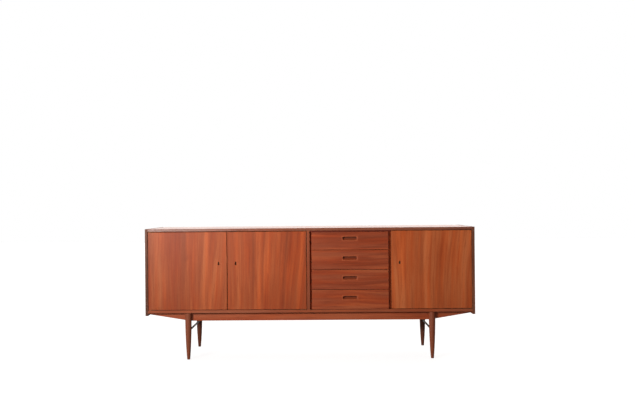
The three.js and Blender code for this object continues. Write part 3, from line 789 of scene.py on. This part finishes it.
def screw_mesh(places, name, size):
    """Slotted screw heads, one at each place: a point on the surface and the way out of it."""
    sides, rows, radius, dome = SCREW["sides"], SCREW["rows"], size["radius"], size["dome"]
    bm = bmesh.new()
    for number, (point, out) in enumerate(places):
        turn = Matrix.Rotation(SCREW["first_turn"] + SCREW["next_turn"] * number, 4, "Z")
        place = Matrix.Translation(point) @ Vector(out).to_track_quat("Z", "Y").to_matrix().to_4x4() @ turn
        # From the foot of the head, sunk in the wood, up its dome.
        profile = [(radius, -SCREW["sunk"])]
        for row in range(rows):
            angle = math.pi / 2 * row / rows
            profile.append((radius * math.cos(angle), dome * math.sin(angle)))
        rings = []
        for row, (ring_radius, height) in enumerate(profile):
            ring = []
            for i in range(sides):
                angle = 2 * math.pi * i / sides
                x, y = ring_radius * math.cos(angle), ring_radius * math.sin(angle)
                in_slot = row > 1 and abs(y) < radius * SCREW["slot"]
                ring.append(bm.verts.new(place @ Vector((x, y, height - in_slot * SCREW["slot_depth"]))))
            rings.append(ring)
        for first, second in zip(rings, rings[1:]):
            bridge(bm, first, second)
        bm.faces.new(rings[0])
        bm.faces.new(rings[-1])
    return mesh_of(bm, name)


def dress_lock(name, number):
    case_node, bolt_node = f"lock_case_{name}", f"lock_bolt_{name}"
    steel = metal(f"{case_node} metal", LOCK_STEEL, "x", SEEDS["lock_case"] + number)
    add_joinery_piece(case_node, "shell", steel, CASE_ROUNDING, segments=2)

    low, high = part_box(case_node)
    inset, seat_y = LOCK_SCREW["inset"], high.y - LOCK_SCREW["seat"]
    corners = [
        (Vector((x, seat_y, z)), (0, 1, 0))
        for x in (low.x + inset, high.x - inset)
        for z in (low.z + inset, high.z - inset)
    ]
    screws = piece_of(screw_mesh(corners, f"lock_screws_{name}", LOCK_SCREW))
    screws.data.materials.append(
        metal(f"lock_screws_{name} metal", SCREW_BRASS, "x", SEEDS["lock_screws"] + number))
    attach(screws, BODY_OF[case_node])

    brass = metal(f"{bolt_node} metal", BOLT_BRASS, "x", SEEDS["lock_bolt"] + number)
    add_joinery_piece(bolt_node, "bar", brass, BOLT_ROUNDING)


def dress_hinges():
    nodes = sorted(node for node in frame["nodes"] if node.startswith("pivot_hinge"))
    for number, node in enumerate(nodes):
        brass = metal(f"{node} metal", HINGE_BRASS, "x", SEEDS["hinge"] + number)
        add_joinery_piece(node, "plate", brass, HINGE_ROUNDING, segments=2, least_degrees=50.0)


# ---- Drawers ----

PULL = {
    "width": 86 * MM,
    "height": 20 * MM,
    "depth": 13 * MM,
    "deep_height": 7 * MM,  # the height left at its deepest, below the hook
    "middle": 68.5 * MM,  # above the front's lower edge
    "corner": 8 * MM,
    "end_flat": 0.4 * MM,  # half of what is left of its end between two corners, at the deepest
    "rim": 2.5 * MM,
    "rim_steps": 8,
    "hollow_steps": 14,
    "hook": 4 * MM,  # how far the hollow reaches up behind its top edge
    "hook_share": 0.6,  # the share of the depth that it takes to get there
    "floor_power": 1.6,  # how late the floor rises
    "end_inset": 1.6 * MM,  # how far the hollow's end rounds in
    "end_share": 0.2,  # the share of the depth that it takes
}


def rounded_ring(x_span, z_span, corner, y, steps=8):
    """A rectangle with round corners, as points at one depth."""
    left, right = x_span[0] + corner, x_span[1] - corner
    low, high = z_span[0] + corner, z_span[1] - corner
    centres = ((right, high), (left, high), (left, low), (right, low))
    points = []
    for quarter, (x, z) in enumerate(centres):
        for i in range(steps + 1):
            angle = (quarter + i / steps) * math.pi / 2
            points.append((x + corner * math.cos(angle), y, z + corner * math.sin(angle)))
    return points


def pull_cutter(centre_x, centre_z, face_y):
    """A finger pull: a softly rounded rim, then a hollow that reaches up behind its top edge, with a floor
    that rises from its lower edge to its deep upper part."""
    half_width, half_height, rim = PULL["width"] / 2, PULL["height"] / 2, PULL["rim"]
    rings = []
    for i in range(PULL["rim_steps"] + 1):
        angle = math.pi / 2 * i / PULL["rim_steps"]
        spread = rim * (1 - math.sin(angle))
        y = face_y + rim * (1 - math.cos(angle))
        rings.append(rounded_ring(
            (centre_x - half_width - spread, centre_x + half_width + spread),
            (centre_z - half_height - spread, centre_z + half_height + spread),
            PULL["corner"] + spread, y))
    rings.insert(0, [(x, face_y - OVERCUT, z) for x, _, z in rings[0]])
    for i in range(1, PULL["hollow_steps"] + 1):
        share = i / PULL["hollow_steps"]
        y = face_y + rim + (PULL["depth"] - rim) * share
        floor_share = 1 - math.sqrt(max(0.0, 1 - share ** PULL["floor_power"]))
        rise = (PULL["height"] - PULL["deep_height"]) * floor_share
        end_share = max(0.0, (share - 1 + PULL["end_share"]) / PULL["end_share"])
        inset = PULL["end_inset"] * end_share ** 2
        hook = PULL["hook"] * math.sin(math.pi / 2 * min(1.0, share / PULL["hook_share"])) - inset
        rings.append(rounded_ring(
            (centre_x - half_width + inset, centre_x + half_width - inset),
            (centre_z - half_height + rise, centre_z + half_height + hook),
            min(PULL["corner"], (PULL["height"] - rise + hook) / 2 - PULL["end_flat"]), y))
    return loft(rings, "pull")


RUNNER_STRIP = 4.5 * MM  # how far it stands out beyond the drawer's side
BOTTOM_EDGE = 5 * MM  # how much of the bottom's width lies in each side
# How far inside the left and right edges of each part its housing in the front lies.
HOUSING_INSETS = {
    "side_left": (RUNNER_STRIP - SLACK, -SLACK),
    "side_right": (-SLACK, RUNNER_STRIP - SLACK),
    "bottom": (BOTTOM_EDGE, BOTTOM_EDGE),
}
DRAWER_SEEDS = {1: 301, 2: 302, 3: 303, 4: 311}
FRONT_STYLE = Style("x", "z", RED_TEAK, 1.2, 0.24, 0.4, 0.8 * MM)
# The painted shade on a drawer front's side faces, in the gaps between the drawers: how light it is.
FRONT_SIDE_SHADE = 1.2
BOX_ROUNDING = 0.7 * MM
# The other parts of a drawer: their styles and their steps from the drawer's first seed.
DRAWER_BOX = {
    "side_left": (Style("y", "z", BEECH, 0.25, 0.2, 0.5, BOX_ROUNDING), 9),
    "side_right": (Style("y", "z", BEECH, 0.25, 0.2, 0.5, BOX_ROUNDING), 10),
    "back": (Style("x", "z", BEECH, 0.25, 0.2, 0.5, BOX_ROUNDING), 4),
    "bottom": (Style("x", "y", PLY, 0.4, 0.4, 0.55, BOX_ROUNDING), 6),
}


def add_drawer_front(number):
    """A drawer front with its finger pull, and housings in its back for the sides and the bottom."""
    node = f"drawer_{number}_front"
    low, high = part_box(node)
    front = piece_of(box_mesh(low, high, f"{node}_panel", FRONT_STYLE.rounding))
    housings = []
    for part, (left_inset, right_inset) in HOUSING_INSETS.items():
        part_low, part_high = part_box(f"drawer_{number}_{part}")
        housings.append(box_mesh(
            (part_low.x + left_inset, part_low.y - SLACK, part_low.z - SLACK),
            (part_high.x - right_inset, high.y + OVERCUT, part_high.z + SLACK),
            "housing"))
    pull_x, pull_z = (low.x + high.x) / 2, low.z + PULL["middle"]
    cut(front, pull_cutter(pull_x, pull_z, low.y), *housings)
    steady_normals(front)
    handle = (pull_x, pull_z, PULL["width"] / 2, PULL["height"] / 2)
    material = wood(f"{node} veneer", (low, high), FRONT_STYLE, DRAWER_SEEDS[number],
                    side_shade=FRONT_SIDE_SHADE, handle=handle)
    stand_for(front, node, material)


def dress_drawer(number):
    add_drawer_front(number)
    for part, (style, seed_step) in DRAWER_BOX.items():
        node = f"drawer_{number}_{part}"
        seed = SEEDS["drawer_box"] + 10 * number + seed_step
        add_joinery_piece(node, "board", wood(f"{node} wood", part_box(node), style, seed), style.rounding)


# ---- Legs and stretchers ----

LEG_STYLE = Style("z", "x", LEG_TEAK, 0.8, 0.3, 0.42, 1.6 * MM)
TOP_RADIUS, FOOT_RADIUS = 19.7 * MM, 9.0 * MM
TAPER_POWER = 2.3  # how late the taper sets in, from the top down
LEG_SIDES, LEG_ROWS, FOOT_STEPS = 72, 56, 4
CUT_REACH = 60 * MM  # from a leg's axis, well past its surface
STRETCHER_RIM = 0.6 * MM


def leg_mesh(name, centre_x, centre_y, foot_z, length):
    """A turned leg: a rounded foot, then a taper that fills out to a straight top."""
    edge = LEG_STYLE.rounding
    stations = []  # how high, and how much narrower than the taper
    for i in range(FOOT_STEPS + 1):
        angle = math.pi / 2 * i / FOOT_STEPS
        stations.append((edge * (1 - math.cos(angle)), edge * (1 - math.sin(angle))))
    for i in range(1, LEG_ROWS + 1):
        stations.append((edge + (length - edge) * i / LEG_ROWS, 0.0))
    angles = [2 * math.pi * i / LEG_SIDES for i in range(LEG_SIDES)]
    rings = []
    for height, narrower in stations:
        taper = (TOP_RADIUS - FOOT_RADIUS) * (1 - height / length) ** TAPER_POWER
        radius = TOP_RADIUS - taper - narrower
        rings.append([
            (centre_x + radius * math.cos(a), centre_y + radius * math.sin(a), foot_z + height)
            for a in angles
        ])
    return loft(rings, name)


def dress_leg(node, number):
    """A leg, lapped against its apron and bored for its stretcher."""
    front = "front" in node
    low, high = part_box(node)
    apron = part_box("apron_front" if front else "apron_back")
    stretcher_low, stretcher_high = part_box("stretcher_left" if "left" in node else "stretcher_right")
    outward, outer = (-1, 0) if front else (1, 1)  # the way out of the case, and the box corner on that side
    centre_x = (low.x + high.x) / 2
    centre_y = (low, high)[outer].y - outward * TOP_RADIUS
    leg = piece_of(leg_mesh(f"{node}_turned", centre_x, centre_y, low.z, high.z - low.z))

    inner_y = centre_y - outward * CUT_REACH
    lap_y = apron[outer].y + outward * SLACK
    lap = box_mesh(
        (low.x - OVERCUT, min(lap_y, inner_y), apron[0].z - SLACK),
        (high.x + OVERCUT, max(lap_y, inner_y), high.z + OVERCUT),
        "lap")
    bar_y = (stretcher_low, stretcher_high)[outer].y + outward * SLACK
    bar_z = (stretcher_low.z + stretcher_high.z) / 2
    bar_radius = (stretcher_high.z - stretcher_low.z) / 2
    bore = cylinder_mesh("bore", (centre_x, 0, bar_z), "y", bar_radius + SLACK,
                         min(bar_y, inner_y), max(bar_y, inner_y))
    cut(leg, lap, bore)
    steady_normals(leg)
    # The back legs take the darker teak: painted shade.
    style = LEG_STYLE if front else LEG_STYLE._replace(palette=SHADED_BACK_LEG_TEAK)
    stand_for(leg, node, wood(f"{node} wood", (low, high), style, SEEDS["leg"] + number, wear=0.0))


def dress_stretcher(name, number):
    node = f"stretcher_{name}"
    low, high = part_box(node)
    centre = ((low.x + high.x) / 2, 0, (low.z + high.z) / 2)
    radius = (high.z - low.z) / 2
    bar = piece_of(cylinder_mesh(f"{node}_bar", centre, "y", radius, low.y, high.y, rounding=STRETCHER_RIM))
    stand_for(bar, node, metal(f"{node} metal", STRETCHER_IRON, "y", SEEDS["stretcher"] + number))


# ---- Small fittings that the frame leaves out, and a strip of painted shade ----

SPACES_X, SPACES_Z = 12, 3  # between the screws along the edges of the back
STRIP_STYLE = Style("x", "z", RED_TEAK, 0.6, 0.2, 0.5, 0.5 * MM)
STRIP_SETBACK = 5 * MM
STRIP_CLEARANCE = 1.0 * MM  # to the moving drawer and door


def add_back_screws():
    low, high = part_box("back_panel")
    inset, out = BACK_SCREW["inset"], (0, 1, 0)
    places = []
    for i in range(SPACES_X + 1):
        x = low.x + inset + (high.x - low.x - 2 * inset) * i / SPACES_X
        places += [(Vector((x, high.y, z)), out) for z in (low.z + inset, high.z - inset)]
    for i in range(1, SPACES_Z):
        z = low.z + inset + (high.z - low.z - 2 * inset) * i / SPACES_Z
        places += [(Vector((x, high.y, z)), out) for x in (low.x + inset, high.x - inset)]
    screws = piece_of(screw_mesh(places, "back_screws", BACK_SCREW))
    screws.data.materials.append(metal("back_screws metal", SCREW_STEEL, "x", SEEDS["back_screws"]))
    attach(screws, "case")


def add_top_strip():
    """A dark strip under the top, which fills the gap above the top drawer and its side grooves. Its
    darkness is painted shade, deepest on its front edge.
    """
    front_low, front_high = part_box("drawer_1_front")
    liner_low, door_low, top_low = (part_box(node)[0] for node in ("drawer_liner", "door_right", "top_panel"))
    low = (liner_low.x + SLACK, front_low.y + STRIP_SETBACK, front_high.z + STRIP_CLEARANCE)
    high = (door_low.x - STRIP_CLEARANCE, front_high.y, top_low.z - SLACK)
    name = "drawer_top_shade_strip"
    strip = piece_of(box_mesh(low, high, name, STRIP_STYLE.rounding))
    steady_normals(strip)
    strip.data.materials.append(
        wood(f"{name} wood", (low, high), STRIP_STYLE, SEEDS["top_strip"], front_light_and_shade=FRONT_EDGE_LIGHT_AND_SHADE[name]))
    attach(strip, "case")


# ---- Floor, light and camera ----

FLOOR_HALF_SIZE = 14.0
FLOOR_DROP = 0.5 * MM  # just below the feet
FLOOR_GREYS = ((0.21, 0.21, 0.21), (0.23, 0.23, 0.23))
FLOOR_GLOW, CAMERA_GLOW = 0.06, 0.78  # its own light, and what the camera sees on top of that

WHITE = (1.0, 1.0, 1.0, 1.0)
SKY_COLOUR = (1.0, 0.92, 0.88, 1.0)
SKY_LIFT = 0.35  # how much a direction's height counts, beside how far it points back
SKY_FADE = (-0.3, 0.6, 0.08, 1.7)  # where the sky starts and stops brightening, and its strength at each

WARM, PINK = (1.0, 0.98, 0.95), (1.0, 0.94, 0.91)
# Each lamp's place, target, width and height, power in watts, colour, and spread in degrees.
LIGHTS = {
    "left_softbox": ((-2.5, -3.3, 1.36), (0.1, 0.0, 1.15), (0.9, 0.35), 28.6, WARM, 64.0),
    "right_softbox": ((2.7, -3.1, 1.5), (0.4, 0.0, 1.15), (0.9, 0.35), 1.2, WARM, 64.0),
    "left_panel": ((-1.75, -4.5, 1.05), (-0.8, 0.0, 1.1), (1.0, 1.2), 5.4, PINK, 90.0),
}

# Fitted to the photograph's outlines: the place in metres, and the lens and sensor in millimetres.
CAMERA = {
    "place": (0.0527, -4.2656, 0.9212),
    "yaw_degrees": -0.797,
    "roll_degrees": -0.482,
    "sensor": 36.0,
    "lens": 37.7915,
    "shift_x": 0.0143937,
}


def add_floor():
    bm = bmesh.new()
    bmesh.ops.create_grid(bm, x_segments=1, y_segments=1, size=FLOOR_HALF_SIZE)
    floor = piece_of(mesh_of(bm, "studio_floor"))
    floor.location.z = -FLOOR_DROP
    tree = MaterialTree("studio floor")
    mottle = tree.noise(tree.object_point, scale=3.0, detail=3.0)
    tree.set(Base_Color=tree.mix(mottle, *FLOOR_GREYS))
    tree.shader.inputs["Roughness"].default_value = 0.9
    # The floor glows for the camera alone, so it stays pale without lighting the sideboard from below.
    seen_directly = tree.nodes.new("ShaderNodeLightPath").outputs["Is Camera Ray"]
    tree.shader.inputs["Emission Color"].default_value = WHITE
    tree.set(Emission_Strength=tree.math("MULTIPLY_ADD", seen_directly, CAMERA_GLOW, FLOOR_GLOW))
    floor.data.materials.append(tree.material)


def set_world():
    """A soft light that is strongest from behind and above. The camera sees plain white instead."""
    world = bpy.data.worlds.new("studio")
    bpy.context.scene.world = world
    tree = Tree(world)
    direction = tree.split(tree.nodes.new("ShaderNodeTexCoord").outputs["Generated"])
    slant = tree.math("MULTIPLY_ADD", direction["Z"], SKY_LIFT, direction["Y"])
    soft = tree.nodes.new("ShaderNodeBackground")
    soft.inputs["Color"].default_value = SKY_COLOUR
    tree.plug(soft.inputs["Strength"], tree.remap(slant, *SKY_FADE))
    seen = tree.nodes.new("ShaderNodeBackground")
    seen.inputs["Color"].default_value = WHITE
    choose = tree.nodes.new("ShaderNodeMixShader")
    seen_directly = tree.nodes.new("ShaderNodeLightPath").outputs["Is Camera Ray"]
    for socket, source in zip(choose.inputs, (seen_directly, soft.outputs[0], seen.outputs[0])):
        tree.plug(socket, source)
    output = tree.nodes.new("ShaderNodeOutputWorld")
    tree.plug(output.inputs["Surface"], choose.outputs[0])


def add_lights():
    for name, (place, target, size, power, colour, spread_degrees) in LIGHTS.items():
        data = bpy.data.lights.new(name, "AREA")
        data.shape = "RECTANGLE"
        data.size, data.size_y = size
        data.energy = power
        data.color = colour
        data.spread = math.radians(spread_degrees)
        light = new_object(name, data)
        light.location = place
        light.rotation_euler = (Vector(target) - Vector(place)).to_track_quat("-Z", "Y").to_euler()


def set_camera():
    """A level camera a little above the top of the sideboard, 4 m in front and just right of the middle."""
    data = bpy.data.cameras.new("camera")
    data.sensor_width = CAMERA["sensor"]
    data.lens = CAMERA["lens"]
    data.shift_x = CAMERA["shift_x"]
    camera = new_object("camera", data)
    camera.location = CAMERA["place"]
    yaw, roll = math.radians(CAMERA["yaw_degrees"]), math.radians(CAMERA["roll_degrees"])
    upright = Matrix.Rotation(math.pi / 2, 4, "X")
    turn = Matrix.Rotation(-yaw, 4, "Z") @ upright @ Matrix.Rotation(roll, 4, "Z")
    camera.rotation_euler = turn.to_euler()
    bpy.context.scene.camera = camera
    bpy.context.scene.view_settings.view_transform = "Standard"


# ---- Everything together ----

dress_boards()
for index, door_name in enumerate(DOORS):
    dress_door(door_name, index)
    dress_lock(door_name, index)
dress_hinges()
for drawer_number in DRAWER_SEEDS:
    dress_drawer(drawer_number)
for index, leg_node in enumerate(sorted(n for n in frame["nodes"] if n.startswith("leg_"))):
    dress_leg(leg_node, index)
for index, stretcher_name in enumerate(("left", "right")):
    dress_stretcher(stretcher_name, index)
add_back_screws()
add_top_strip()
add_floor()
set_world()
add_lights()
set_camera()
